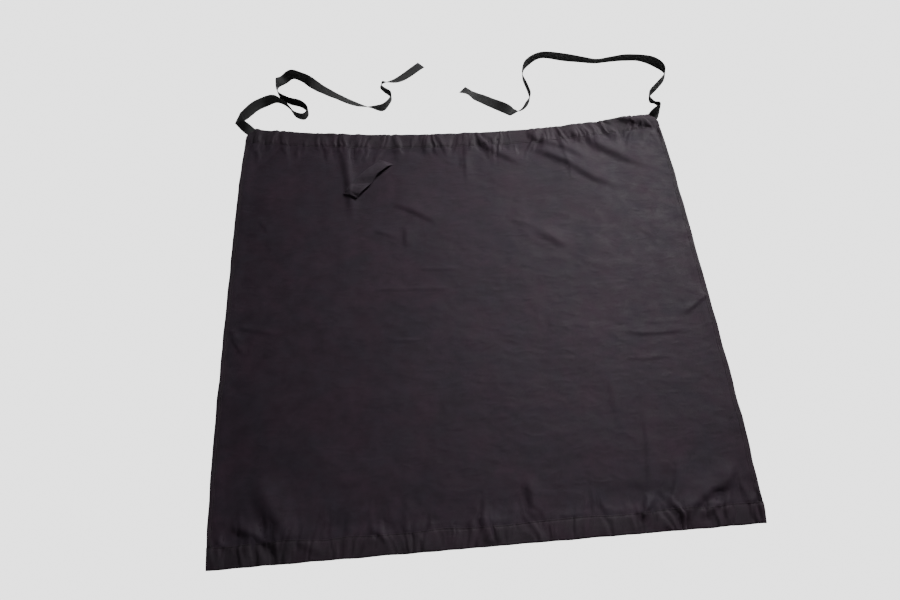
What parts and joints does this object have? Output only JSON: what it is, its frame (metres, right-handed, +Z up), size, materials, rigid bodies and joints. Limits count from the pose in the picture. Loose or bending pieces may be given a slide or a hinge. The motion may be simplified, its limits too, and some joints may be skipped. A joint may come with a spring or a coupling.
{
  "type": "grill apron",
  "caption": "Black cotton waist apron for grill work, laid flat, with a gathered waistband, a slanted towel loop and tape ties.",
  "frame": {"origin": "middle of the panel's underside, on the floor it rests on", "axes": "+Z up out of the front of the cloth, +Y from hem to waistband, +X across to the side without the towel loop"},
  "size_m": [1.0836, 1.2144, 0.025],
  "materials": {
    "cotton": "matte",
    "seam_cotton": "matte",
    "tape": "matte"
  },
  "bodies": {
    "root": {"panel": "cotton", "waistband": "seam_cotton", "bottom_hem": "seam_cotton", "side_hem_left": "seam_cotton", "side_hem_right": "seam_cotton", "towel_loop": "cotton", "tie_left": "tape", "tie_right": "tape"}
  },
  "joints": []
}
